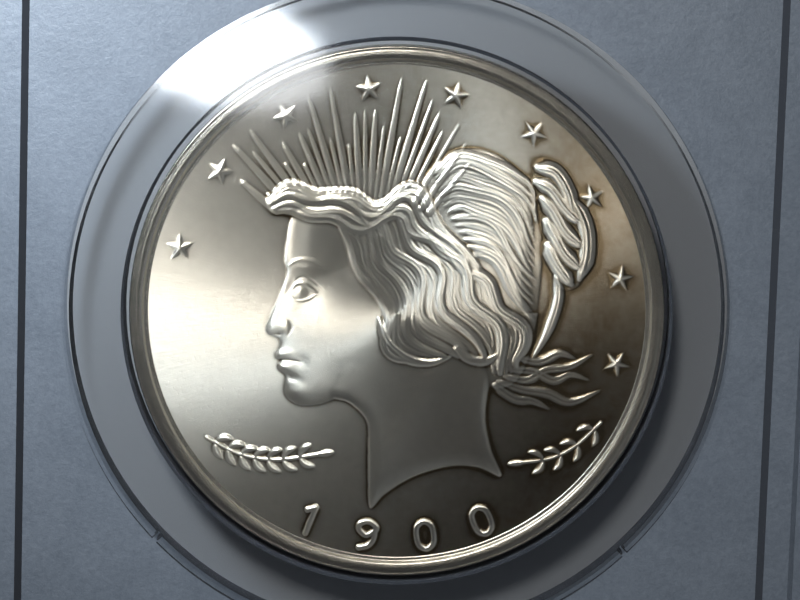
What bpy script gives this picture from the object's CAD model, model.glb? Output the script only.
import math

import bpy
import numpy as np
from mathutils import Matrix, Vector


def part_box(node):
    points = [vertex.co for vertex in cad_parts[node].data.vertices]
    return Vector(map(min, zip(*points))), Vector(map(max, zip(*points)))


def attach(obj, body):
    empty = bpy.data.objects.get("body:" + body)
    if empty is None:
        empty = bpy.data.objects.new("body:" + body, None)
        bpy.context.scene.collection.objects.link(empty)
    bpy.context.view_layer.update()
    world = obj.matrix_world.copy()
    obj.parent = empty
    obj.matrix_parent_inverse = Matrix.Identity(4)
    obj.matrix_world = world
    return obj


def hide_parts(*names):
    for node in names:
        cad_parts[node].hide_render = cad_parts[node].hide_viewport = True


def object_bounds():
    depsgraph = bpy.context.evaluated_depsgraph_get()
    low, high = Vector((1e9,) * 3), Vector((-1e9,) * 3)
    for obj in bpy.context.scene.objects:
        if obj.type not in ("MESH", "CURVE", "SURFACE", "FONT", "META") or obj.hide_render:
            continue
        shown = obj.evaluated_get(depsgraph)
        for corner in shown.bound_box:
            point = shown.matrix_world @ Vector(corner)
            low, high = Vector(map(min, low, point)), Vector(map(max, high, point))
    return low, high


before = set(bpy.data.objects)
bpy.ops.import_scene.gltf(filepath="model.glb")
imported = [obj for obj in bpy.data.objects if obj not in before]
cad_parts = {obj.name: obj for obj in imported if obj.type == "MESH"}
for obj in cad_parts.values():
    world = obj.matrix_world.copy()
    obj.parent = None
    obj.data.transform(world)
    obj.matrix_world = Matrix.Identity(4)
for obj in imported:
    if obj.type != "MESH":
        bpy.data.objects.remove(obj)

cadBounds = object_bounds()
mm = 0.001
hairGap = 0.02 * mm  # keeps faces that would touch out of one plane
print("frame loaded")

coinLow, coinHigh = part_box("coin")
gasketLow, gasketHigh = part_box("coin_gasket")
cardLow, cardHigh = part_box("label_card")
coinX = (coinLow[0] + coinHigh[0]) / 2
coinY = (gasketLow[1] + gasketHigh[1]) / 2
coinTop = coinHigh[2]
coinBottom = coinLow[2] + hairGap
coinR = (coinHigh[0] - coinLow[0]) / 2 / mm  # in millimetres

# The camera looks down on the coin, leaning towards the label end
cameraSet = {
    "imageWidth": 800,
    "imageHeight": 600,
    "sensorMm": 36.0,
    "distance": 226 * mm,  # from the lens to the middle of the coin
    "tiltDeg": 8.1,  # the lens leans towards the label end
    "rollDeg": 1.76,  # the slab lies turned by this in the picture
    "pixelsPerMm": 14.04,  # at the coin's rim
    "coinPixel": (396.7, 313.1),
}


def makeCamera(c):
    roll, tilt = math.radians(c["rollDeg"]), math.radians(c["tiltDeg"])
    away = Vector((0, math.sin(tilt), math.cos(tilt)))
    right = Vector((-math.sin(roll), math.cos(roll), 0)).cross(away).normalized()
    up = away.cross(right).normalized()
    offRight = (c["imageWidth"] / 2 - c["coinPixel"][0]) / c["pixelsPerMm"] * mm
    offUp = (c["coinPixel"][1] - c["imageHeight"] / 2) / c["pixelsPerMm"] * mm
    aim = Vector((coinX, coinY, coinTop)) + right * offRight + up * offUp
    data = bpy.data.cameras.new("camera")
    data.sensor_width = c["sensorMm"]
    data.lens = c["pixelsPerMm"] * c["distance"] / mm / c["imageWidth"] * c["sensorMm"]
    data.clip_start, data.clip_end = 0.01, 20
    camera = bpy.data.objects.new("camera", data)
    turned = Matrix((right, up, away)).transposed().to_4x4()
    camera.matrix_world = Matrix.Translation(aim + away * c["distance"]) @ turned
    bpy.context.collection.objects.link(camera)
    bpy.context.scene.camera = camera


makeCamera(cameraSet)
coinTurn = math.radians(cameraSet["rollDeg"])  # the coin's artwork stands upright in the picture
print("camera placed")


def newObject(name, mesh, body=None, material=None):
    obj = bpy.data.objects.new(name, mesh)
    bpy.context.collection.objects.link(obj)
    if material:
        mesh.materials.append(material)
    if body:
        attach(obj, body)
    return obj


# Vertices are an array of points, faces one flat run of corner numbers with the corner count of each
def meshFromArrays(name, vertices, corners, sizes, smooth=True):
    mesh = bpy.data.meshes.new(name)
    mesh.vertices.add(len(vertices))
    mesh.vertices.foreach_set("co", np.ascontiguousarray(vertices, dtype=np.float32).ravel())
    mesh.loops.add(len(corners))
    mesh.loops.foreach_set("vertex_index", np.ascontiguousarray(corners, dtype=np.int32))
    starts = np.concatenate(([0], np.cumsum(sizes)[:-1])).astype(np.int32)
    mesh.polygons.add(len(sizes))
    mesh.polygons.foreach_set("loop_start", starts)
    mesh.polygons.foreach_set("use_smooth", np.full(len(sizes), smooth, dtype=bool))
    mesh.update(calc_edges=True)
    return mesh


# Quads of a grid of numbered vertices, wound so that the face looks out of the page
def gridQuads(numbers):
    a, b = numbers[:-1, :-1], numbers[:-1, 1:]
    c, d = numbers[1:, 1:], numbers[1:, :-1]
    return np.stack([a, b, c, d], axis=-1).reshape(-1)


# A smooth run through a few hand-set points: on each stretch, the cubic whose slope at a point is half the
# step between that point's neighbours
def smoothPath(points, perStretch=6):
    p = np.array(points, dtype=float)
    p = np.vstack([2 * p[0] - p[1], p, 2 * p[-1] - p[-2]])
    t = np.linspace(0, 1, perStretch, endpoint=False)[None, :, None]
    a, b, c, d = p[:-3, None], p[1:-2, None], p[2:-1, None], p[3:, None]
    run = 0.5 * (2 * b + (c - a) * t + (2 * a - 5 * b + 4 * c - d) * t**2 + (3 * b - a - 3 * c + d) * t**3)
    return np.vstack([run.reshape(-1, 2), p[-2]])


def smoothLoop(points, perStretch=6):
    p = np.array(points, dtype=float)
    ring = smoothPath(np.vstack([p[-2:], p, p[:3]]), perStretch)
    return ring[2 * perStretch:-2 * perStretch]


# For each point, how far along the path its nearest place lies, from 0 to 1, and its distance to either side
def nearestOnPath(u, v, path):
    best, along, side = np.full(u.shape, 1e9), np.zeros(u.shape), np.zeros(u.shape)
    steps = np.hypot(*np.diff(path, axis=0).T)
    total, start = steps.sum(), 0.0
    for a, b, length in zip(path[:-1], path[1:], steps):
        if length < 1e-9:
            continue
        dx, dy = (b - a) / length
        x, y = u - a[0], v - a[1]
        t = np.clip(x * dx + y * dy, 0, length)
        away = np.hypot(x - t * dx, y - t * dy)
        near = away < best
        best = np.where(near, away, best)
        along = np.where(near, (start + t) / total, along)
        side = np.where(near, np.where(dx * y - dy * x > 0, away, -away), side)
        start += length
    return along, side


# Distance to a closed outline, positive inside it: a point is inside where a level line to its right
# crosses the outline an odd number of times
def depthInside(u, v, outline):
    away, odd = np.full(u.shape, 1e9), np.zeros(u.shape, dtype=bool)
    for a, b in zip(outline, np.roll(outline, -1, axis=0)):
        step = b - a
        length2 = max(step @ step, 1e-12)
        t = np.clip(((u - a[0]) * step[0] + (v - a[1]) * step[1]) / length2, 0, 1)
        away = np.minimum(away, np.hypot(u - a[0] - t * step[0], v - a[1] - t * step[1]))
        if a[1] != b[1]:
            crosses = (a[1] > v) != (b[1] > v)
            odd ^= crosses & (u < a[0] + (v - a[1]) * step[0] / step[1])
    return np.where(odd, away, -away)


# A die is a grid of points u, v in millimetres round the coin's middle, with a height at each
def makeDie(radius, cells):
    line = np.linspace(-1, 1, cells + 1)
    # the square is drawn out to a disc, so that its edge is a true circle
    a, b = np.meshgrid(line, line)
    u, v = radius * a * np.sqrt(1 - b * b / 2), radius * b * np.sqrt(1 - a * a / 2)
    return {"u": u, "v": v, "z": np.zeros_like(u)}


def nearMask(die, path, margin):
    low, high = path.min(axis=0) - margin, path.max(axis=0) + margin
    u, v = die["u"], die["v"]
    return (u > low[0]) & (u < high[0]) & (v > low[1]) & (v < high[1])


# The width of a stroke along its length t, as a share of its full width
tapers = {
    "bar": lambda t: np.ones_like(t),
    "leaf": lambda t: np.sin(np.pi * np.clip(t, 0, 1)) ** 0.7,
    "ray": lambda t: (1.0 - 0.6 * t) * np.clip((1.01 - t) / 0.1, 0, 1) ** 0.5,
    "lock": lambda t: np.clip(t / 0.18, 0, 1) ** 0.5 * np.clip((1.02 - t) / 0.45, 0, 1) ** 0.6,
    "tress": lambda t: np.clip(0.55 + t / 0.3, 0, 1) * np.clip((1.03 - t) / 0.25, 0, 1) ** 0.5,
}
# The height of a stroke at the share q of its half width, to either side of its middle
sections = {
    "round": lambda q: np.sqrt(np.clip(1 - q * q, 0, 1)),
    "ridge": lambda q: np.clip(1 - np.abs(q), 0, 1),
    "flat": lambda q: np.clip((1 - np.abs(q)) * 2.6, 0, 1),
    "soft": lambda q: np.clip(1 - q * q, 0, 1) ** 2,
}


# A stroke follows a path: its height is the section across it, times the taper along it, above the ground
def stroke(die, path, width, height, taper="bar", section="round", ground=0.0,
           strands=0, strandDepth=0.0, fall=0.0):
    mask = nearMask(die, path, width * 1.05)
    along, side = nearestOnPath(die["u"][mask], die["v"][mask], path)
    wide = width * tapers[taper](along) + 1e-6
    q = side / wide
    level = sections[section](q) * height * (1 - fall * along)
    if taper != "bar":
        level = level * np.clip(wide / width * 1.6, 0, 1)
    if strands:
        level = level + strandDepth * np.cos(np.pi * strands * (q + 1)) * np.clip(1 - q * q, 0, 1)
    base = ground[mask] if isinstance(ground, np.ndarray) else ground
    struck = np.where(np.abs(q) < 1, base + level, -1.0)
    die["z"][mask] = np.maximum(die["z"][mask], struck)


# A cut or a swelling is added to what is already there
def press(die, path, width, amount):
    mask = nearMask(die, path, width * 1.05)
    along, side = nearestOnPath(die["u"][mask], die["v"][mask], path)
    q = side / (width * tapers["leaf"](along) + 1e-6)
    die["z"][mask] += amount * sections["soft"](q) * (np.abs(q) < 1)


# A bell-shaped swelling: height falls with the square of the distance, counted in its own widths
def swell(die, centre, widths, amount, turnDeg=0.0):
    turn = math.radians(turnDeg)
    x, y = die["u"] - centre[0], die["v"] - centre[1]
    a = (x * math.cos(turn) + y * math.sin(turn)) / widths[0]
    b = (y * math.cos(turn) - x * math.sin(turn)) / widths[1]
    return amount * np.exp(-(a * a + b * b))


# A form with a rounded edge: a quarter ellipse from its outline in, level beyond that
def roundedForm(die, outline, height, edge):
    mask = nearMask(die, outline, 0.1)
    depth = np.full(die["u"].shape, -1.0)
    depth[mask] = depthInside(die["u"][mask], die["v"][mask], outline)
    inward = np.clip(depth / edge, 0, 1)
    return height * np.sqrt(np.clip(1 - (1 - inward) ** 2, 0, 1)), depth


print("die tools ready")

# Heights and radii of the struck coin, in millimetres
coinSet = {
    "rimWidth": 0.85,
    "rimSlope": 0.25,
    "rimRise": 0.3,
    "rimCrown": 0.06,  # the rim's top is worn a little round
    "dish": 0.1,
    "discRadius": 17.7,
    "obverseCells": 540,
    "reverseCells": 300,
    "discDepth": 1.2,  # the two faces meet at half the coin's thickness
    "reeds": 189,
    "reedDepth": 0.12,
    "stepsPerReed": 8,
    "reedGain": 1.25,  # over 1, so that crests and valleys are flat
    "reedValley": 0.1,
    "edgeBevel": 0.14,
    "slopeSteps": 7,
    "crestSpan": (0.12, 0.95),
    "crestSteps": 6,
    "crestShare": 0.8,  # of the rim's width, up to the bevel
    "reedRunOut": (0.35, 1.35),  # the reeds' depth at the bevel, and where they are full, in bevels
}
rimFoot = coinR - coinSet["rimWidth"] - coinSet["rimSlope"]


def dishHeight(radius):
    return -coinSet["rimRise"] - coinSet["dish"] * (1 - (radius / rimFoot) ** 2)


# The head is drawn by plain thirds: hairline to brow, brow to the foot of the nose, and then to the chin
headSet = {
    "faceHeight": 0.25,
    "faceEdge": 2.0,
    "neckHeight": 0.23,
    "neckEdge": 0.9,
    "hairHeight": 0.2,
    "hairEdge": 2.0,
    "bunHeight": 0.14,
    "bunEdge": 1.1,
    "strandDepth": 0.02,
    "seed": 7,
    "lockWidths": (0.85, 1.2),  # shares of each mass's own width and height
    "lockHeights": (0.6, 1.25),
    "napeShare": 0.7,  # how far the nape's locks still lie on the hair's own height
    "leastHairGround": 0.05,
    "leastBunGround": 0.04,
    "seamAt": 9.7,  # the hollow between the hair and the bun
    "seamHalfWidth": 0.6,
    "seamDepth": 0.07,
}
faceOutline = [
    (-7.0, 8.0), (-7.55, 6.6), (-7.8, 5.2), (-7.95, 3.9), (-7.78, 3.0), (-8.0, 2.1), (-8.5, 0.9),
    (-9.05, -0.35), (-9.3, -1.0), (-9.15, -1.5), (-8.45, -1.8), (-8.38, -2.35), (-8.7, -2.9),
    (-8.62, -3.25), (-8.3, -3.42), (-8.52, -3.7), (-8.42, -4.1), (-7.98, -4.5), (-8.02, -5.05),
    (-8.05, -5.75), (-7.6, -6.35), (-6.7, -6.7), (-5.2, -6.5), (-3.2, -5.6), (-1.2, -4.2), (0.6, -2.2),
    (1.6, 0.6), (1.4, 4.0), (-0.6, 7.4), (-4.0, 9.0),
]
neckOutline = [
    (-5.2, -5.6), (-3.4, -6.5), (-2.2, -7.8), (-2.1, -9.6), (-2.1, -11.6), (-1.95, -14.1), (-0.9, -13.2),
    (0.4, -12.3), (1.9, -11.6), (4.0, -11.1), (5.8, -11.2), (7.5, -11.8), (6.8, -9.8), (6.4, -7.8),
    (6.5, -6.0), (6.8, -4.0), (6.0, -1.0), (1.0, 0.5), (-3.0, -2.0),
]
hairOutline = [
    (-8.6, 7.3), (-9.05, 8.1), (-8.7, 8.9), (-7.6, 9.4), (-6.2, 9.35), (-4.6, 9.0), (-2.8, 8.5),
    (-1.4, 8.3), (-0.4, 9.0), (0.8, 9.4), (1.9, 9.9), (3.2, 11.0), (4.8, 11.8), (6.8, 11.5), (8.8, 10.1),
    (9.8, 8.3), (10.4, 5.4), (10.3, 2.6), (10.0, -0.5), (9.5, -3.0), (8.4, -5.0), (6.6, -5.4), (4.6, -4.6),
    (2.0, -4.3), (0.0, -3.5), (-1.2, -1.5), (-1.8, 1.3), (-3.4, 3.8), (-4.2, 5.2), (-5.4, 6.2), (-7.0, 6.7),
]
bunOutline = [
    (9.8, 10.8), (10.9, 10.9), (12.0, 9.8), (12.9, 7.9), (13.7, 5.9), (13.6, 3.6), (13.0, 2.0),
    (11.9, 1.7), (11.0, 2.8), (10.5, 4.6), (10.6, 6.2), (10.2, 7.6), (9.8, 9.0),
]
# Soft swellings of the face: centre, widths along and across, height and turn in degrees
faceSwells = {
    "cheek": ((-4.7, -1.0), (2.2, 1.8), 0.075, 20),
    "brow": ((-6.8, 3.35), (1.4, 0.42), 0.055, -6),
    "socket": ((-6.55, 1.6), (1.25, 0.95), -0.11, 4),
    "bridge": ((-7.5, 1.9), (0.5, 0.9), -0.04, -14),
    "eyeball": ((-6.9, 1.5), (0.5, 0.46), 0.1, 0),
    "besideNose": ((-7.0, -0.2), (0.75, 1.3), -0.05, -24),
    "noseWing": ((-8.05, -1.05), (0.44, 0.38), 0.075, 0),
    "noseTip": ((-8.8, -0.85), (0.48, 0.45), 0.045, 0),
    "nostril": ((-8.5, -1.52), (0.28, 0.12), -0.11, 12),
    "upperLip": ((-8.2, -2.92), (0.62, 0.26), 0.08, 10),
    "lowerLip": ((-8.05, -3.86), (0.55, 0.26), 0.085, -8),
    "mouthCorner": ((-6.75, -3.45), (0.38, 0.42), -0.06, 0),
    "underLip": ((-7.65, -4.6), (0.6, 0.24), -0.06, -10),
    "chin": ((-7.2, -5.6), (0.75, 0.6), 0.06, 0),
    "temple": ((-3.8, 3.4), (1.3, 1.5), -0.035, 0),
    "underCheek": ((-4.4, -4.2), (1.7, 0.8), -0.045, 34),
}
# Fine lines of the face: path, half width and height
faceLines = {
    "lipsPart": ([(-8.55, -3.38), (-8.0, -3.33), (-7.4, -3.4), (-6.8, -3.52)], 0.12, -0.09),
    "wingFold": ([(-7.72, -0.45), (-7.5, -1.0), (-7.75, -1.6)], 0.14, -0.07),
    "upperLid": ([(-7.5, 1.6), (-7.15, 2.12), (-6.5, 2.1), (-5.6, 1.42)], 0.17, 0.075),
    "lidFold": ([(-7.3, 2.3), (-6.8, 2.62), (-6.1, 2.45), (-5.3, 1.75)], 0.13, -0.05),
    "lowerLid": ([(-7.2, 0.98), (-6.75, 0.92), (-6.2, 1.08), (-5.75, 1.35)], 0.12, 0.04),
    "eyeFront": ([(-7.32, 1.75), (-7.38, 1.4), (-7.2, 1.05)], 0.1, 0.03),
    "eyeBrow": ([(-7.8, 3.35), (-7.0, 3.85), (-6.0, 3.75), (-4.9, 3.1)], 0.24, 0.035),
}
neckSet = {
    "tendon": [(3.6, -3.0), (1.4, -6.5), (-1.0, -11.0)],
    "tendonReach": 0.9,
    "tendonRise": 0.045,
    "hollow": ((3.8, -8.6), (1.8, 2.8), -0.05),
    "throat": ((-0.6, -7.4), (1.2, 1.6), -0.04),
}
faceMargin = 0.35  # the swellings fade out this near to the outline


def strikeFace(die):
    s, n = headSet, neckSet
    neck, neckDepth = roundedForm(die, smoothLoop(neckOutline), s["neckHeight"], s["neckEdge"])
    side = nearestOnPath(die["u"], die["v"], np.array(n["tendon"]))[1]
    tendon = n["tendonRise"] * np.exp(-(side / n["tendonReach"]) ** 2)
    neck += (neckDepth > 0) * (tendon + swell(die, *n["hollow"]))
    neck += (neckDepth > 0) * swell(die, *n["throat"])
    face, depth = roundedForm(die, smoothLoop(faceOutline), s["faceHeight"], s["faceEdge"])
    for form in faceSwells.values():
        face += (depth > 0) * np.clip(depth / faceMargin, 0, 1) * swell(die, *form)
    die["z"] = np.maximum(np.maximum(die["z"], neck), face)
    for path, width, amount in faceLines.values():
        press(die, smoothPath(path), width, amount)


# Locks are laid between guide curves: each is a blend of its two nearest guides, and waves to either side
def locksBetween(guides, count, wave, turns, rng):
    lines = np.array([smoothPath(g, 8) for g in guides])
    place = np.linspace(0, len(guides) - 1.0001, count)
    t = np.linspace(0, 1, lines.shape[1])
    for p in place:
        k = int(p)
        line = lines[k] * (1 - p + k) + lines[k + 1] * (p - k)
        slope = np.gradient(line, axis=0)
        across = np.stack([-slope[:, 1], slope[:, 0]], axis=1)
        across /= np.linalg.norm(across, axis=1, keepdims=True)
        phase = 2 * np.pi * (turns * t + 0.16 * p + rng.uniform(-0.12, 0.12))
        yield line + across * (wave * np.sin(phase) * np.clip(t * 4, 0, 1))[:, None]


# In each mass the locks lie side by side, so that the valleys between them stay open
hairMasses = {
    "crown": {
        "guides": [
            [(2.6, 9.9), (4.6, 11.2), (7.0, 10.9), (9.0, 9.3), (9.9, 7.6)],
            [(2.9, 8.9), (4.6, 9.9), (6.8, 9.4), (8.6, 7.8), (9.9, 5.6)],
            [(3.3, 7.6), (4.8, 8.2), (6.6, 7.4), (8.2, 5.8), (9.9, 3.6)],
            [(4.2, 6.0), (5.4, 6.2), (6.8, 5.2), (8.2, 3.6), (9.8, 1.6)],
            [(5.2, 4.4), (6.2, 4.2), (7.4, 3.0), (8.6, 1.4), (9.6, -0.6)],
        ],
        "count": 15, "width": 0.36, "height": 0.08, "wave": 0.24,
        "turns": 1.5, "strands": 3, "taper": "lock",
    },
    "lower": {
        "guides": [
            [(-4.2, 6.9), (-3.1, 4.5), (-1.6, 2.4), (-1.0, 0.0), (-0.4, -2.2), (1.2, -3.6)],
            [(-2.9, 7.2), (-1.7, 4.9), (-0.5, 2.8), (0.1, 0.4), (1.0, -1.6), (3.0, -3.4)],
            [(-1.3, 7.2), (-0.1, 5.1), (1.2, 3.2), (1.8, 1.0), (2.9, -0.9), (5.0, -3.3)],
            [(0.5, 7.0), (1.8, 5.0), (3.2, 3.2), (4.0, 1.2), (5.2, -0.8), (6.8, -3.9)],
            [(2.6, 5.4), (4.0, 3.8), (5.4, 2.2), (6.4, 0.4), (7.4, -1.6), (8.0, -4.2)],
            [(4.6, 3.4), (6.0, 2.2), (7.4, 0.8), (8.4, -0.8), (8.9, -2.6), (8.9, -4.0)],
        ],
        "count": 14, "width": 0.52, "height": 0.18, "wave": 0.46,
        "turns": 2.0, "strands": 4, "taper": "tress",
    },
    "roll": {
        "guides": [
            [(-9.0, 8.2), (-7.6, 9.1), (-5.6, 8.9), (-3.4, 8.3), (-1.6, 7.9), (0.4, 8.8), (2.0, 8.2),
             (3.6, 6.0), (5.6, 3.2)],
            [(-8.9, 7.8), (-7.4, 8.4), (-5.4, 8.0), (-3.4, 7.4), (-1.6, 7.1), (0.4, 7.8), (1.6, 7.2),
             (3.0, 5.4), (5.2, 3.0)],
            [(-8.5, 7.3), (-7.0, 7.4), (-5.2, 6.7), (-3.4, 6.3), (-1.6, 6.4), (0.2, 6.7), (1.2, 6.0),
             (2.6, 4.8), (4.9, 2.8)],
        ],
        "count": 6, "width": 0.4, "height": 0.19, "wave": 0.34,
        "turns": 3.3, "strands": 4, "taper": "tress",
    },
}
# Single locks, laid over the masses
singleLocks = {
    "curls": {
        "paths": [
            [(-1.3, -0.2), (-0.6, -2.0), (0.8, -3.2), (2.4, -3.5), (4.0, -3.0)],
            [(4.0, -2.2), (5.2, -3.2), (6.6, -3.3), (7.8, -2.4)],
            [(11.2, 3.0), (11.5, 1.2), (10.8, -1.2), (9.6, -3.4)],
        ],
        "width": 0.42, "height": 0.19, "taper": "lock", "strands": 3, "fall": 0.0,
    },
    "coils": {
        "paths": [
            [(10.0, 10.4), (11.2, 10.1), (12.1, 8.7), (12.5, 7.0)],
            [(9.9, 9.4), (10.9, 8.9), (11.9, 7.6), (13.0, 6.5)],
            [(10.3, 8.2), (11.1, 7.3), (12.0, 5.8), (13.2, 4.8)],
            [(10.6, 6.6), (11.3, 5.4), (12.0, 4.2), (13.1, 3.2)],
            [(10.7, 4.9), (11.2, 3.8), (11.8, 2.9), (12.4, 2.1)],
            [(12.6, 8.0), (13.4, 6.2), (13.5, 4.2), (13.0, 2.5)],
        ],
        "width": 0.62, "height": 0.2, "taper": "tress", "strands": 4, "fall": 0.0,
    },
    "nape": {
        "paths": [
            [(7.4, -4.4), (9.2, -4.8), (10.6, -4.1), (12.2, -3.9), (13.9, -3.0)],
            [(7.8, -4.0), (9.8, -4.2), (11.2, -4.8), (12.4, -4.4), (13.7, -4.8)],
            [(7.0, -4.8), (9.0, -5.5), (10.8, -5.8), (12.4, -6.4), (14.5, -5.6)],
            [(6.8, -5.0), (8.4, -6.1), (9.7, -6.3), (10.9, -6.9)],
            [(8.6, -3.2), (10.2, -3.5), (11.6, -2.9), (12.8, -3.3)],
        ],
        "width": 0.42, "height": 0.13, "taper": "lock", "strands": 3, "fall": 0.3,
    },
}


def strikeHair(die):
    s, rng = headSet, np.random.default_rng(headSet["seed"])
    cap, capDepth = roundedForm(die, smoothLoop(hairOutline), s["hairHeight"], s["hairEdge"])
    bun = roundedForm(die, smoothLoop(bunOutline), s["bunHeight"], s["bunEdge"])[0]
    seam = np.exp(-(((die["u"] - s["seamAt"]) / s["seamHalfWidth"]) ** 2))
    cap -= s["seamDepth"] * (capDepth > 0) * seam * (die["v"] > 0)
    ground = np.maximum(np.maximum(cap, bun), die["z"] * (capDepth > -0.5))
    die["z"] = np.maximum(die["z"], ground)
    for m in hairMasses.values():
        for line in locksBetween(m["guides"], m["count"], m["wave"], m["turns"], rng):
            width = m["width"] * rng.uniform(*s["lockWidths"])
            high = m["height"] * rng.uniform(*s["lockHeights"])
            stroke(die, line, width, high, m["taper"], "round", np.maximum(ground, s["leastHairGround"]),
                   m["strands"], s["strandDepth"])
    grounds = {
        "curls": ground,
        "coils": np.maximum(bun, s["leastBunGround"]),
        "nape": cap * s["napeShare"],
    }
    for name, m in singleLocks.items():
        for path in m["paths"]:
            stroke(die, smoothPath(path, 8), m["width"], m["height"], m["taper"], "round", grounds[name],
                   m["strands"], s["strandDepth"], m["fall"])


# The rays fan out from behind the front hair
raySet = {
    "centre": (-2.2, 1.8),
    "fromDeg": 64.0,
    "toDeg": 139.0,
    "count": 24,
    "start": 6.4,
    "sideFromDeg": 104,  # from here on the rays start farther out, behind the front roll
    "sideStart": 8.6,
    "longTip": 16.7,  # from the coin's middle
    "starTip": 14.6,  # a ray that points at a star stops short of it
    "starMarginDeg": 4.6,
    "shortTips": (13.4, 15.4, 12.6),
    "width": 0.29,
    "widthShares": (0.85, 1.15),  # short rays, then long ones
    "height": 0.13,
    "crownSink": 0.06,
    "crownStart": 7.0,
    "crownRays": ((60.5, 15.2), (55.5, 13.4), (50.5, 12.2)),
}


# The end of a ray, where its line from the fan's centre meets a circle about the coin's middle
def rayEnd(centre, way, radius):
    half = centre @ way
    return centre + way * (math.sqrt(half * half + radius * radius - centre @ centre) - half)


def strikeRay(die, turnDeg, start, tip, width, ground=0.0):
    centre = np.array(raySet["centre"])
    way = np.array([math.cos(math.radians(turnDeg)), math.sin(math.radians(turnDeg))])
    end = rayEnd(centre, way, tip)
    endDeg = math.degrees(math.atan2(end[1], end[0]))
    if min(abs(endDeg - starDeg) for starDeg in starSet["anglesDeg"]) < raySet["starMarginDeg"]:
        end = rayEnd(centre, way, min(tip, raySet["starTip"]))
    path = np.array([centre + way * start, end])
    stroke(die, path, width, raySet["height"], "ray", "round", ground)


def strikeRays(die):
    s = raySet
    for number, turnDeg in enumerate(np.linspace(s["fromDeg"], s["toDeg"], s["count"])):
        tip = s["longTip"] if number % 2 else s["shortTips"][(number // 2) % 3]
        start = np.interp(turnDeg, (s["sideFromDeg"], s["toDeg"]), (s["start"], s["sideStart"]))
        strikeRay(die, turnDeg, start, tip, s["width"] * s["widthShares"][number % 2])


# The last rays lie over the smooth hair of the crown
def strikeCrownRays(die):
    ground = die["z"].copy() - raySet["crownSink"]
    for turnDeg, tip in raySet["crownRays"]:
        strikeRay(die, turnDeg, raySet["crownStart"], tip, raySet["width"], ground)


# Small five-pointed stars stand round the edge, each a low pyramid: its height falls evenly from its middle
# to its outline
starSet = {
    "radius": 16.1,
    "size": 1.05,
    "height": 0.17,
    "anglesDeg": (163, 141, 119, 97, 75, 53, 31, 9, -13),
}
starWaist = 0.45  # the inner corners, as a share of the size
starPeak = 1.25   # the pyramid's height before its tip is worn level


def strikeStars(die, s):
    bend = np.pi / 5
    for angle in s["anglesDeg"]:
        turn = math.radians(angle)
        x, y = die["u"] - s["radius"] * math.cos(turn), die["v"] - s["radius"] * math.sin(turn)
        away = np.hypot(x, y)
        mask = away < s["size"]
        wedge = np.abs(np.mod(np.arctan2(y[mask], x[mask]) - turn + bend, 2 * bend) - bend)
        inner = starWaist * s["size"]
        reach = s["size"] * np.sin(wedge) + inner * np.sin(bend - wedge)
        edge = s["size"] * inner * math.sin(bend) / reach
        level = s["height"] * np.clip(1 - away[mask] / edge, -1, 1) * starPeak
        die["z"][mask] = np.maximum(die["z"][mask], np.minimum(level, s["height"]))


def closed(points):
    ring = smoothLoop(points)
    return np.vstack([ring, ring[:1]])


# Plain numerals are round-backed strokes, drawn 2 high about their own middle
digitPaths = {
    "1": [[(-0.42, 0.62), (0.06, 1.0), (0.06, -1.0)]],
    "9": [closed([(0.0, 1.0), (0.52, 0.76), (0.6, 0.42), (0.0, 0.0), (-0.58, 0.36), (-0.52, 0.78)]),
          smoothPath([(0.58, 0.5), (0.52, -0.25), (0.2, -0.75), (-0.42, -0.98)])],
    "0": [closed([(0.0, 1.0), (0.5, 0.68), (0.62, 0.0), (0.5, -0.68), (0.0, -1.0), (-0.5, -0.68),
                  (-0.62, 0.0), (-0.5, 0.68)])],
}
# The number along the foot of the coin
dateSet = {
    "text": "1900",
    "radius": 16.25,
    "fromDeg": -112.6,
    "stepDeg": 14.9,
    "scale": 1.0,
    "stroke": 0.23,
    "height": 0.17,
}


def strikeDigits(die, s):
    scale = s["scale"]
    for number, digit in enumerate(s["text"]):
        turn = math.radians(s["fromDeg"] + number * s["stepDeg"])
        lean = turn + math.pi / 2  # a numeral stands with its foot to the rim
        c, n = math.cos(lean), math.sin(lean)
        middle = np.array([s["radius"] * math.cos(turn), s["radius"] * math.sin(turn)])
        for path in digitPaths[digit]:
            path = np.array(path, dtype=float) * scale
            x, y = path[:, 0], path[:, 1]
            placed = np.stack([x * c - y * n, x * n + y * c], axis=1) + middle
            stroke(die, placed, s["stroke"] * scale, s["height"])


# Each sprig is a stem, from its foot to its tip, with its pairs of leaves
sprigSet = {
    "stems": (
        ([(-13.6, -9.0), (-11.2, -10.2), (-8.6, -10.6), (-5.4, -10.2)], 8),
        ([(14.6, -7.9), (12.8, -9.6), (11.0, -10.5), (9.0, -10.8)], 5),
    ),
    "stemSpan": (0.08, 0.96),  # the part of the stem that bears leaves
    "stemWidth": 0.13,
    "stemHeightShare": 0.7,
    "leafLength": 1.35,
    "leafWidth": 0.3,
    "leafBow": 0.14,
    "spreadDeg": 38,
    "height": 0.15,
}


def strikeSprig(die, s, stem, pairs):
    path = smoothPath(stem, 10)
    stroke(die, path, s["stemWidth"], s["height"] * s["stemHeightShare"])
    slope = np.gradient(path, axis=0)
    for number, place in enumerate(np.linspace(*s["stemSpan"], pairs)):
        k = place * (len(path) - 1)
        at = path[int(k)] + (k % 1) * slope[int(k)]
        way = math.atan2(slope[int(k)][1], slope[int(k)][0])
        for hand in (-1, 1) if number < pairs - 1 else (0,):
            turn = way + hand * math.radians(s["spreadDeg"])
            out = np.array([math.cos(turn), math.sin(turn)]) * s["leafLength"]
            bend = np.array([-out[1], out[0]]) * s["leafBow"] * hand
            leaf = smoothPath([at, at + out * 0.5 + bend, at + out], 6)
            stroke(die, leaf, s["leafWidth"], s["height"], "leaf", "ridge")


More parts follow.
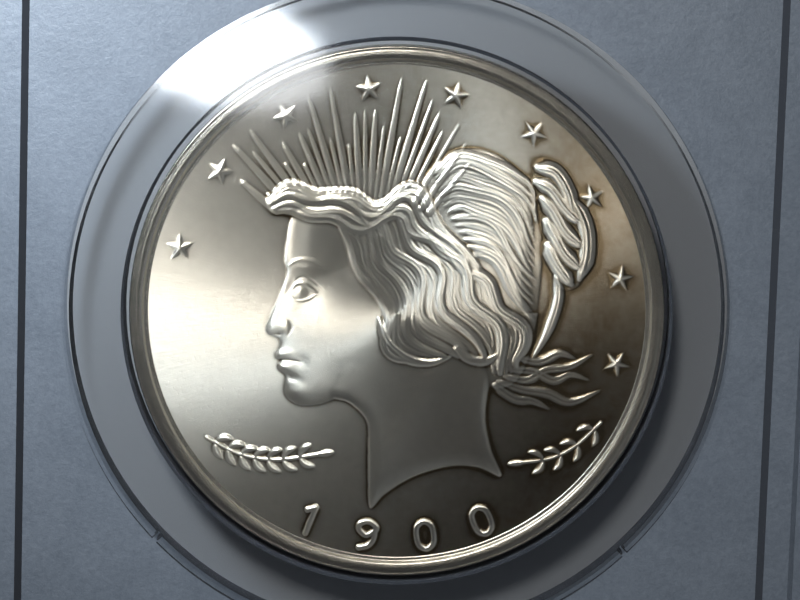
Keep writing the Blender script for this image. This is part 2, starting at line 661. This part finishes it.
def makeObverseDie():
    die = makeDie(coinSet["discRadius"], coinSet["obverseCells"])
    strikeRays(die)
    strikeStars(die, starSet)
    strikeFace(die)
    strikeHair(die)
    strikeCrownRays(die)
    strikeDigits(die, dateSet)
    for stem, pairs in sprigSet["stems"]:
        strikeSprig(die, sprigSet, stem, pairs)
    return die


# The reverse holds a plain wreath of two rows of leaves on a bough, a ring of stars and a numeral
wreathSet = {
    "rows": ((13.2, 17, 0.42), (11.6, 15, -0.42)),  # radius, leaves to a side, and their lean in radians
    "fromDeg": 14,
    "spanDeg": 146,
    "leafLength": 2.1,
    "leafWidth": 0.48,
    "leafHeight": 0.14,
    "ribWidth": 0.1,
    "ribDepth": 0.05,
    "boughRadius": 12.4,
    "boughSpanDeg": (-3, 150),
    "boughSteps": 14,
    "boughWidth": 0.17,
    "boughHeight": 0.13,
}
reverseStars = {"radius": 15.9, "size": 0.75, "height": 0.12, "anglesDeg": range(0, 360, 15)}
numeralSet = {**dateSet, "text": "1", "radius": 0.0, "fromDeg": -90, "scale": 5.0, "stroke": 0.24}
numeralFoot = {"path": [(-1.6, -5.0), (2.2, -5.0)], "width": 0.7, "height": 0.17}


def strikeWreath(die, s):
    for hand in (-1, 1):
        for ring, leaves, slant in s["rows"]:
            for number in range(leaves):
                turn = math.radians(-90 + hand * (s["fromDeg"] + number * s["spanDeg"] / leaves))
                lean = turn + hand * (math.pi / 2 - slant)
                at = ring * np.array([math.cos(turn), math.sin(turn)])
                out = s["leafLength"] * np.array([math.cos(lean), math.sin(lean)])
                leaf = smoothPath([at, at + out * 0.5, at + out], 6)
                stroke(die, leaf, s["leafWidth"], s["leafHeight"], "leaf")
                press(die, leaf, s["ribWidth"], -s["ribDepth"])
        turns = np.radians(-90 + hand * np.linspace(*s["boughSpanDeg"], s["boughSteps"]))
        bough = [s["boughRadius"] * np.array([math.cos(a), math.sin(a)]) for a in turns]
        stroke(die, smoothPath(bough, 4), s["boughWidth"], s["boughHeight"])


def makeReverseDie():
    die = makeDie(coinSet["discRadius"], coinSet["reverseCells"])
    strikeWreath(die, wreathSet)
    strikeStars(die, reverseStars)
    strikeDigits(die, numeralSet)
    stroke(die, np.array(numeralFoot["path"]), numeralFoot["width"], numeralFoot["height"], "bar", "flat")
    return die


# Blur on the grid: a bell-weighted mean, along one way and then the other
def blurGrid(z, reach):
    kernel = np.hanning(2 * reach + 3)[1:-1]
    kernel /= kernel.sum()
    for axis in (0, 1):
        padded = np.pad(z, [(reach, reach) if k == axis else (0, 0) for k in (0, 1)], mode="edge")
        span = z.shape[axis]
        z = sum(w * np.take(padded, range(k, k + span), axis=axis) for k, w in enumerate(kernel))
    return z


# Points of a coin face in the frame: turned with the artwork, mirrored for the reverse, and set on the
# coin's plane
def coinPoints(u, v, z, side):
    c, n = math.cos(coinTurn), math.sin(coinTurn)
    x, y = side * u, v
    plane = coinTop if side > 0 else coinBottom
    east, north = coinX + (x * c - y * n) * mm, coinY + (x * n + y * c) * mm
    return np.stack([east, north, plane + side * z * mm], axis=-1)


# A tile of a die's grid becomes a closed block: the struck face, walls down to the core, and a fan across
# the foot
def coinBlock(name, die, rows, columns, side, material):
    u, v, z = (die[key][rows, columns] for key in ("u", "v", "total"))
    top = coinPoints(u, v, z, side)
    high, wide = z.shape
    numbers = np.arange(high * wide).reshape(high, wide)
    ring = np.concatenate([numbers[0, :-1], numbers[:-1, -1], numbers[-1, :0:-1], numbers[:0:-1, 0]])
    flatTop = top.reshape(-1, 3)
    foot = flatTop[ring].copy()
    foot[:, 2] = (coinTop if side > 0 else coinBottom) - side * coinSet["discDepth"] * mm
    vertices = np.vstack([flatTop, foot, foot.mean(axis=0)])
    footNumbers = high * wide + np.arange(len(ring))
    walls = np.stack([ring, footNumbers, np.roll(footNumbers, -1), np.roll(ring, -1)], axis=1)
    fan = np.stack([np.full(len(ring), len(vertices) - 1), np.roll(footNumbers, -1), footNumbers], axis=1)
    quads = gridQuads(numbers).reshape(-1, 4)
    corners = np.concatenate([quads.ravel(), walls.ravel(), fan.ravel()])
    sizes = np.concatenate([np.full(len(quads) + len(walls), 4), np.full(len(fan), 3)])
    mesh = meshFromArrays(name, vertices, corners, sizes)
    grime = mesh.attributes.new("grime", "FLOAT", "POINT")
    values = np.zeros(len(vertices), dtype=np.float32)
    values[:high * wide] = die["grime"][rows, columns].ravel()
    grime.data.foreach_set("value", values)
    normals = np.zeros((len(vertices), 3), dtype=np.float32)
    normals[:high * wide] = die["normals"][rows, columns].reshape(-1, 3)
    mesh.normals_split_custom_set_from_vertices(normals)
    return newObject(name, mesh, "coin", material)


# How dirt sits: in hollows, found as the height below the blurred height, and not on what stands up
grimeSet = {
    "nearReach": 4,  # in cells of the grid
    "nearGain": 16,
    "wideReach": 14,
    "wideGain": 6,
    "rubbedHeight": 0.15,
    "rubbedShare": 0.3,
}


# The normal is the cross product of the grid's two slopes, so that neighbouring tiles agree along their seam
def finishDie(die, side):
    s = grimeSet
    die["z"] = blurGrid(die["z"], 1)
    die["total"] = dishHeight(np.hypot(die["u"], die["v"])) + die["z"]
    near, wide = (blurGrid(die["z"], s[reach]) - die["z"] for reach in ("nearReach", "wideReach"))
    rubbed = np.clip(die["z"] / s["rubbedHeight"], 0, 1)
    die["grime"] = np.clip(s["nearGain"] * near + s["wideGain"] * wide - s["rubbedShare"] * rubbed, -1, 1)
    points = coinPoints(die["u"], die["v"], die["total"], side)
    normals = np.cross(np.gradient(points, axis=1), np.gradient(points, axis=0))
    die["normals"] = normals / np.maximum(np.linalg.norm(normals, axis=-1, keepdims=True), 1e-15)


# The rim is turned from a closed profile of radius and height, and its side waves in and out with the reeds
def coinRim(material):
    s = coinSet
    thick = (coinTop - coinBottom) / mm
    crown, bevel, crestFoot = s["rimCrown"], s["edgeBevel"], rimFoot + s["rimSlope"]
    face = [(r, dishHeight(r)) for r in (s["discRadius"], (s["discRadius"] + rimFoot) / 2)]
    for t in np.linspace(0, 1, s["slopeSteps"]):
        fall = 1 - t * t * (3 - 2 * t)
        face.append((rimFoot + s["rimSlope"] * t, -crown - (s["rimRise"] - crown) * fall))
    for t in np.linspace(*s["crestSpan"], s["crestSteps"]):
        face.append((crestFoot + s["rimWidth"] * t * s["crestShare"], -crown * (2 * t - 1) ** 2))
    for a in np.radians((0, 30, 60, 90)):
        face.append((coinR - bevel * (1 - math.sin(a)), -bevel * (1 - math.cos(a))))
    upper = [(r, z, 0.0) for r, z in face]
    atBevel, fullAt = s["reedRunOut"]
    upper[-1] = (coinR, -bevel, atBevel)
    upper.append((coinR, -bevel * fullAt, 1.0))
    profile = np.array(upper + [(r, -thick - z, share) for r, z, share in reversed(upper)])
    steps = s["reeds"] * s["stepsPerReed"]
    turn = np.arange(steps) / steps * 2 * np.pi
    wave = np.clip(s["reedGain"] * (0.5 + 0.5 * np.cos(turn * s["reeds"])) - s["reedValley"], 0, 1)
    radius = profile[None, :, 0] - s["reedDepth"] * profile[None, :, 2] * (1 - wave[:, None])
    u, v = radius * np.cos(turn)[:, None], radius * np.sin(turn)[:, None]
    points = coinPoints(u, v, np.broadcast_to(profile[:, 1], u.shape), 1).reshape(-1, 3)
    count = profile.shape[0]
    numbers = np.arange(steps * count).reshape(steps, count)
    numbers = np.vstack([numbers, numbers[:1]])
    numbers = np.hstack([numbers, numbers[:, :1]])
    quads = gridQuads(numbers)
    mesh = meshFromArrays("coin_rim", points, quads, np.full(len(quads) // 4, 4))
    mesh.attributes.new("grime", "FLOAT", "POINT")
    return newObject("coin_rim", mesh, "coin", material)


print("coin tools ready")


def newMaterial(name):
    material = bpy.data.materials.new(name)
    material.use_nodes = True
    tree = material.node_tree
    tree.nodes.clear()
    output = tree.nodes.new("ShaderNodeOutputMaterial")
    shader = tree.nodes.new("ShaderNodeBsdfPrincipled")
    tree.links.new(shader.outputs["BSDF"], output.inputs["Surface"])
    return material, tree, shader


def node(tree, kind, settings=None, **sockets):
    made = tree.nodes.new("ShaderNode" + kind)
    for key, value in (settings or {}).items():
        setattr(made, key, value)
    for key, value in sockets.items():
        socket = made.inputs[int(key[1:]) if key[0] == "_" else key]
        if isinstance(value, bpy.types.NodeSocket):
            tree.links.new(value, socket)
        else:
            socket.default_value = value
    return made


def maths(tree, operation, a, b=0.0, c=0.0, clamp=False):
    return node(tree, "Math", {"operation": operation, "use_clamp": clamp}, _0=a, _1=b, _2=c).outputs[0]


def vectors(tree, operation, a, b=(0.0, 0.0, 0.0), scale=1.0):
    made = node(tree, "VectorMath", {"operation": operation}, _0=a, _1=b, _3=scale)
    return made.outputs["Value"] if operation in ("LENGTH", "DISTANCE") else made.outputs[0]


def ramp(tree, factor, stops):
    made = node(tree, "ValToRGB", Fac=factor)
    line = made.color_ramp
    while len(line.elements) < len(stops):
        line.elements.new(0.5)
    for element, (place, colour) in zip(line.elements, stops):
        element.position = place
        element.color = (*colour, 1.0)
    return made.outputs["Color"]


def noise(tree, place, scale, detail, rough=0.55, distortion=0.0):
    made = node(tree, "TexNoise", Vector=place, Scale=scale, Detail=detail, Roughness=rough,
                Distortion=distortion)
    return made.outputs["Fac"]


# The sum of several values, each times its share
def weighted(tree, *terms):
    total = maths(tree, "MULTIPLY", *terms[0])
    for value, portion in terms[1:]:
        total = maths(tree, "MULTIPLY_ADD", value, portion, total)
    return total


# The place of a point in millimetres from the coin's middle
def coinPlace(tree):
    place = node(tree, "TexCoord").outputs["Object"]
    moved = vectors(tree, "SUBTRACT", place, (coinX, coinY, coinTop))
    return vectors(tree, "SCALE", moved, scale=1 / mm)


silverSet = {
    "colour": (0.85, 0.79, 0.67),
    "toned": (0.11, 0.08, 0.045),
    "field": {"roughness": (0.28, 0.34), "anisotropic": 0.9, "tarnish": 1.0},
    "rim": {"roughness": (0.14, 0.24), "anisotropic": 0.0, "tarnish": 0.45},
    "cleanPlace": (-12.0, 1.0, 0.0),  # the silver is bright round here and toned brown away from it
    "cleanRadius": 9.0,
    "tonedRadius": 26.0,
    "tonedShare": 0.78,
    "softTone": (0.12, 3),  # noises: scale, detail, roughness and distortion
    "fineTone": (1.6, 5, 0.65),
    "flow": (4.0, 3, 0.6),
    "marks": (1.7, 1, 0.5, 3.0),
    "toneShares": (0.9, 0.2, 0.25),
    "toneFrom": 0.1,
    "toneRoughness": 0.12,
    "flowStretch": (30.0, 0.16),  # round the coin and along the radius
    "marksFrom": 0.64,
    "marksGain": 12.0,
    "bumpShares": (0.7, 0.75, -0.25),
    "bump": {"Strength": 0.35, "Distance": 0.00004},
}


# Struck silver: radial flow lines, warm tone in the hollows, small bag marks and a little haze
def silverMaterial(name, s, polish):
    material, tree, shader = newMaterial(name)
    place = coinPlace(tree)
    flat = vectors(tree, "MULTIPLY", place, (1, 1, 0))
    away = vectors(tree, "LENGTH", flat)
    grime = node(tree, "Attribute", {"attribute_name": "grime"}).outputs["Fac"]
    toneSoft = noise(tree, place, *s["softTone"])
    toneFine = noise(tree, place, *s["fineTone"])
    tone = weighted(tree, *zip((grime, toneFine, toneSoft), s["toneShares"]))
    fromClean = vectors(tree, "DISTANCE", flat, s["cleanPlace"])
    reach = maths(tree, "DIVIDE", maths(tree, "SUBTRACT", fromClean, s["cleanRadius"]),
                  s["tonedRadius"] - s["cleanRadius"], clamp=True)
    tone = maths(tree, "ADD", tone, maths(tree, "MULTIPLY", reach, s["tonedShare"]))
    tone = maths(tree, "SUBTRACT", tone, s["toneFrom"], clamp=True)
    tone = maths(tree, "MULTIPLY", tone, polish["tarnish"])
    colour = node(tree, "Mix", {"data_type": "RGBA"}, Factor=tone)
    colour.inputs[6].default_value = (*s["colour"], 1)
    colour.inputs[7].default_value = (*s["toned"], 1)
    tree.links.new(colour.outputs[2], shader.inputs["Base Color"])
    shader.inputs["Metallic"].default_value = 1.0
    low, high = polish["roughness"]
    rough = maths(tree, "MULTIPLY_ADD", toneFine, high - low, low)
    rough = maths(tree, "ADD", rough, maths(tree, "MULTIPLY", tone, s["toneRoughness"]), clamp=True)
    tree.links.new(rough, shader.inputs["Roughness"])
    # flow lines: fine noise stretched along the radius, read in angle and distance
    spokes = node(tree, "CombineXYZ")
    split = node(tree, "SeparateXYZ", Vector=flat)
    angle = maths(tree, "ARCTAN2", split.outputs[1], split.outputs[0])
    for part, (value, stretch) in enumerate(zip((angle, away), s["flowStretch"])):
        tree.links.new(maths(tree, "MULTIPLY", value, stretch), spokes.inputs[part])
    lines = noise(tree, spokes.outputs[0], *s["flow"])
    marks = maths(tree, "SUBTRACT", noise(tree, place, *s["marks"]), s["marksFrom"], clamp=True)
    cuts = maths(tree, "MULTIPLY", marks, s["marksGain"], clamp=True)
    height = weighted(tree, *zip((lines, toneFine, cuts), s["bumpShares"]))
    bump = node(tree, "Bump", Height=height, **s["bump"])
    tree.links.new(bump.outputs[0], shader.inputs["Normal"])
    shader.inputs["Anisotropic"].default_value = polish["anisotropic"]
    around = vectors(tree, "NORMALIZE", vectors(tree, "CROSS_PRODUCT", (0, 0, 1), flat))
    tree.links.new(around, shader.inputs["Tangent"])
    return material


silver = silverMaterial("struckSilver", silverSet, silverSet["field"])
rimSilver = silverMaterial("rimSilver", silverSet, silverSet["rim"])

obverse = makeObverseDie()
finishDie(obverse, 1)
half = coinSet["obverseCells"] // 2
tileSpans = (slice(0, half + 1), slice(half, 2 * half + 1))
coinPieces = [coinRim(rimSilver)]
for rowNumber, rows in enumerate(tileSpans):
    for columnNumber, columns in enumerate(tileSpans):
        tileName = "coin_obverse_%s%s" % ("sn"[rowNumber], "we"[columnNumber])
        coinPieces.append(coinBlock(tileName, obverse, rows, columns, 1, silver))
print("obverse struck")
reverse = makeReverseDie()
finishDie(reverse, -1)
coinPieces.append(coinBlock("coin_reverse", reverse, slice(None), slice(None), -1, silver))
for piece in coinPieces:
    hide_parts("coin")
print("reverse struck")

plasticSet = {
    "ior": 1.49,
    "clearTint": (0.93, 0.95, 0.97),
    "frostRadius": 23.7,  # clear inside this, frosted outside it
    "frostColour": (0.15, 0.18, 0.22),
    "frostPatch": (0.29, 0.33, 0.39),
    "wallColour": (0.035, 0.04, 0.05),
    "wallRadius": 24.4,  # the upright walls round the coin end inside this
    "ridgeHalfWidth": 26.8,  # the ridge's inner flank lies inside this
    "ridgeFoot": 1.5,  # above the coin's top
    "levelFacing": 0.9,  # a face that looks less upward than this is a wall
    "wallSolid": 0.95,
    "frostSolid": 0.8,
    "dust": (2.6, 6, 0.7),
    "smudge": (0.16, 3, 0.6, 0.8),
    "speckle": (9.0, 3, 0.6),
    "cloudShares": (0.45, 0.3, 0.25),
    "cloudSpan": (0.3, 0.72),
    "frostRoughness": 0.34,
    "paneRoughness": 0.03,
    "paneDust": 0.04,
    "ringRoughness": 0.01,
    "ringDust": 0.05,
    "bump": {"Strength": 0.6, "Distance": 0.0001},
    "lampShare": {"front": 0.97, "ring": 0.89, "rear": 0.75},
}


# Clear moulded plastic: glass that lets lamps through, frosted where its inner face is textured
def plasticMaterial(name, s, lampShare, frosted):
    material, tree, shader = newMaterial(name)
    place = coinPlace(tree)
    away = vectors(tree, "LENGTH", vectors(tree, "MULTIPLY", place, (1, 1, 0)))
    shader.inputs["IOR"].default_value = s["ior"]
    dust = noise(tree, place, *s["dust"])
    # the panes stay flat up to their edges, so the true normal is used and not the smoothed one
    facet = node(tree, "NewGeometry").outputs["True Normal"]
    # walls that stand up from the windows pass no light to the eye, so they show as dark lines
    facing = node(tree, "SeparateXYZ", Vector=facet).outputs[2]
    upright = maths(tree, "LESS_THAN", maths(tree, "ABSOLUTE", facing), s["levelFacing"])
    split = node(tree, "SeparateXYZ", Vector=place)
    sideways = maths(tree, "ABSOLUTE", split.outputs[0])
    inRidge = maths(tree, "MULTIPLY", maths(tree, "LESS_THAN", sideways, s["ridgeHalfWidth"]),
                    maths(tree, "GREATER_THAN", split.outputs[2], s["ridgeFoot"]))
    inside = maths(tree, "MAXIMUM", maths(tree, "LESS_THAN", away, s["wallRadius"]), inRidge)
    wall = maths(tree, "MULTIPLY", upright, inside)
    clear = node(tree, "Mix", {"data_type": "RGBA"}, Factor=wall)
    clear.inputs[6].default_value = (*s["clearTint"], 1)
    clear.inputs[7].default_value = (*s["wallColour"], 1)
    tree.links.new(clear.outputs[2], shader.inputs["Base Color"])
    if frosted:
        frost = maths(tree, "GREATER_THAN", away, s["frostRadius"])
        # over the label the window is clear too, as wide and as high as the card
        within = node(tree, "TexCoord").outputs["Object"]
        within = vectors(tree, "ABSOLUTE", vectors(tree, "SUBTRACT", within, (cardLow + cardHigh) / 2))
        within = vectors(tree, "SUBTRACT", within, (cardHigh - cardLow) / 2)
        within = node(tree, "SeparateXYZ", Vector=within)
        outside = maths(tree, "MAXIMUM", within.outputs[0], within.outputs[1])
        frost = maths(tree, "MULTIPLY", frost, maths(tree, "GREATER_THAN", outside, 0.0))
        frost = maths(tree, "MULTIPLY", frost, maths(tree, "SUBTRACT", 1.0, wall))
        colour = node(tree, "Mix", {"data_type": "RGBA"}, Factor=frost)
        tree.links.new(clear.outputs[2], colour.inputs[6])
        smudge = noise(tree, place, *s["smudge"])
        speckle = noise(tree, place, *s["speckle"])
        cloud = weighted(tree, *zip((dust, smudge, speckle), s["cloudShares"]))
        milky = ramp(tree, cloud, list(zip(s["cloudSpan"], (s["frostColour"], s["frostPatch"]))))
        tree.links.new(milky, colour.inputs[7])
        tree.links.new(colour.outputs[2], shader.inputs["Base Color"])
        solid = maths(tree, "MAXIMUM", maths(tree, "MULTIPLY", frost, s["frostSolid"]),
                      maths(tree, "MULTIPLY", wall, s["wallSolid"]))
        tree.links.new(maths(tree, "SUBTRACT", 1.0, solid), shader.inputs["Transmission Weight"])
        rough = maths(tree, "MULTIPLY_ADD", frost, s["frostRoughness"], s["paneRoughness"])
        rough = maths(tree, "MAXIMUM", maths(tree, "MULTIPLY_ADD", dust, s["paneDust"], rough), wall)
        bump = node(tree, "Bump", Height=maths(tree, "MULTIPLY", dust, frost), Normal=facet, **s["bump"])
        tree.links.new(bump.outputs[0], shader.inputs["Normal"])
    else:
        clearness = maths(tree, "MULTIPLY_ADD", wall, -s["wallSolid"], 1.0)
        tree.links.new(clearness, shader.inputs["Transmission Weight"])
        rough = maths(tree, "MULTIPLY_ADD", dust, s["ringDust"], s["ringRoughness"])
        rough = maths(tree, "MAXIMUM", rough, wall)
        tree.links.new(facet, shader.inputs["Normal"])
    tree.links.new(rough, shader.inputs["Roughness"])
    pane = node(tree, "BsdfTransparent", Color=(lampShare, lampShare, lampShare, 1))
    rays = node(tree, "LightPath")
    lamp = maths(tree, "MAXIMUM", rays.outputs["Is Shadow Ray"], rays.outputs["Is Diffuse Ray"])
    mix = node(tree, "MixShader", Fac=lamp)
    tree.links.new(shader.outputs["BSDF"], mix.inputs[1])
    tree.links.new(pane.outputs[0], mix.inputs[2])
    output = next(n for n in tree.nodes if n.type == "OUTPUT_MATERIAL")
    tree.links.new(mix.outputs[0], output.inputs["Surface"])
    return material


# A piece that touches a window is drawn in by a hair, so that no two faces lie in one plane
def dressNode(name, material, drawIn=0.0):
    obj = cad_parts[name]
    obj.data.materials.clear()
    obj.data.materials.append(material)
    if drawIn:
        obj.modifiers.new("weld", "WELD").merge_threshold = 1e-6
        thinner = obj.modifiers.new("drawIn", "DISPLACE")
        thinner.strength, thinner.mid_level = -drawIn, 0.0


paperSet = {
    "fibre": (5.0, 6, 0.7),
    "colours": [(0.3, (0.78, 0.79, 0.8)), (0.7, (0.86, 0.87, 0.88))],
    "roughness": 0.7,
    "bump": {"Strength": 0.2, "Distance": 0.00005},
}


def paperMaterial(s):
    material, tree, shader = newMaterial("labelPaper")
    place = coinPlace(tree)
    fibre = noise(tree, place, *s["fibre"])
    tree.links.new(ramp(tree, fibre, s["colours"]), shader.inputs["Base Color"])
    shader.inputs["Roughness"].default_value = s["roughness"]
    bump = node(tree, "Bump", Height=fibre, **s["bump"])
    tree.links.new(bump.outputs[0], shader.inputs["Normal"])
    return material


share = plasticSet["lampShare"]
dressNode("front_shell", plasticMaterial("frontPlastic", plasticSet, share["front"], True))
dressNode("rear_shell", plasticMaterial("rearPlastic", plasticSet, share["rear"], True))
dressNode("coin_gasket", plasticMaterial("ringPlastic", plasticSet, share["ring"], False), hairGap)
dressNode("label_card", paperMaterial(paperSet), hairGap)
print("plastic and paper ready")

stageSet = {
    "floorSize": 4.0,
    "floorColour": (0.8, 0.81, 0.83),
    "skyLow": (0.5, 0.53, 0.58),
    "skyHigh": (0.03, 0.03, 0.033),
    "skyStrength": 0.6,
    "skyBlend": (0.3, 0.65),
}
lampSet = {
    "key": {"from": (-24, 76, 125), "size": (28, 28), "watts": 0.09, "colour": (1.0, 0.97, 0.92)},
    "glare": {
        "from": (-32, 0, 300), "at": (-11.4, 16.8, 0), "size": (40, 18), "turnDeg": 35, "spreadDeg": 12,
        "watts": 0.00009, "colour": (0.96, 0.98, 1.0),
    },
    "fill": {"from": (160, -120, 260), "size": (200, 200), "watts": 0.02, "colour": (0.85, 0.92, 1.0)},
    "glow": {"from": (-32, 29, 32), "size": (14, 14), "watts": 0.02, "colour": (0.8, 0.9, 1.0)},
}


def makeStage(s):
    half = s["floorSize"] / 2
    floorZ = cadBounds[0][2]
    corners = [(-half, -half, floorZ), (half, -half, floorZ), (half, half, floorZ), (-half, half, floorZ)]
    mesh = meshFromArrays("floor", np.array(corners), np.arange(4), np.array([4]), False)
    material, tree, shader = newMaterial("floorPaint")
    shader.inputs["Base Color"].default_value = (*s["floorColour"], 1)
    shader.inputs["Roughness"].default_value = 0.8
    newObject("floor", mesh, material=material)
    world = bpy.data.worlds.new("sky")
    bpy.context.scene.world = world
    world.use_nodes = True
    tree = world.node_tree
    tree.nodes.clear()
    direction = node(tree, "TexCoord").outputs["Generated"]
    up = node(tree, "SeparateXYZ", Vector=direction).outputs[2]
    below, above = s["skyBlend"]
    colour = ramp(tree, up, [(0.0, s["skyLow"]), (below, s["skyLow"]), (above, s["skyHigh"])])
    sky = node(tree, "Background", Color=colour, Strength=s["skyStrength"])
    output = node(tree, "OutputWorld")
    tree.links.new(sky.outputs[0], output.inputs["Surface"])


def makeLamp(name, s):
    data = bpy.data.lights.new(name, "AREA")
    data.shape = "ELLIPSE"
    data.size, data.size_y = s["size"][0] * mm, s["size"][1] * mm
    data.energy = s["watts"]
    data.color = s["colour"]
    data.spread = math.radians(s.get("spreadDeg", 180))
    lamp = bpy.data.objects.new(name, data)
    lamp.location = Vector((coinX, coinY, coinTop)) + Vector(s["from"]) * mm
    aim = Vector((coinX, coinY, coinTop)) + Vector(s.get("at", (0, 0, 0))) * mm - lamp.location
    roll = Matrix.Rotation(math.radians(s.get("turnDeg", 0)), 3, "Z")
    lamp.rotation_euler = (aim.to_track_quat("-Z", "Y").to_matrix() @ roll).to_euler()
    bpy.context.collection.objects.link(lamp)


makeStage(stageSet)
for lampName, lampValues in lampSet.items():
    makeLamp(lampName, lampValues)
bpy.context.scene.view_settings.view_transform = "Standard"
print("stage and lamps ready")
